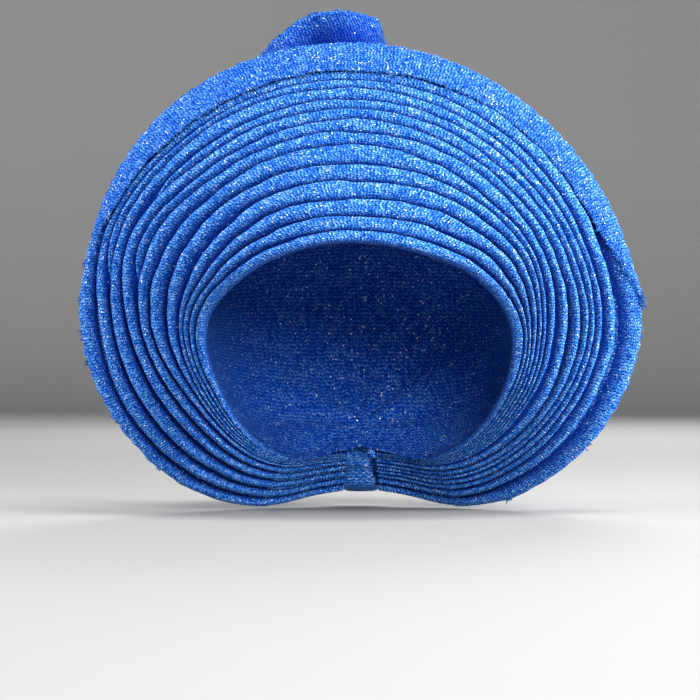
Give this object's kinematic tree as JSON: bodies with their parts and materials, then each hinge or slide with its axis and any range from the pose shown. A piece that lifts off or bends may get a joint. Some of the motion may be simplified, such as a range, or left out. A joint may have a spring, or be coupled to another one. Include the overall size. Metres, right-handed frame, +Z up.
{
  "type": "tied gele head tie",
  "caption": "Ready-tied head wrap of stiff glittering cloth, pleated into a wide fan round the face, with a bonnet over the crown, a turned rim and a knot at the nape.",
  "frame": {"origin": "top of the wearer's head, inside the bonnet, where the head tie sits", "axes": "+Z up, -Y the way the face looks, +X to the right as seen from in front"},
  "size_m": [0.2707, 0.1778, 0.2416],
  "materials": {
    "cloth": "ribbed cloth with a metallic thread"
  },
  "bodies": {
    "root": {"fold_01": "cloth", "fold_02": "cloth", "fold_03": "cloth", "fold_04": "cloth", "fold_05": "cloth", "fold_06": "cloth", "fold_07": "cloth", "fold_08": "cloth", "fold_09": "cloth", "fold_10": "cloth", "fold_11": "cloth", "fold_12": "cloth", "fold_13": "cloth", "rim_fold": "cloth", "rim_cuff": "cloth", "fan_back": "cloth", "crown_wrap": "cloth", "nape_gather_left": "cloth", "nape_gather_right": "cloth", "knot": "cloth", "tail": "cloth"}
  },
  "joints": []
}
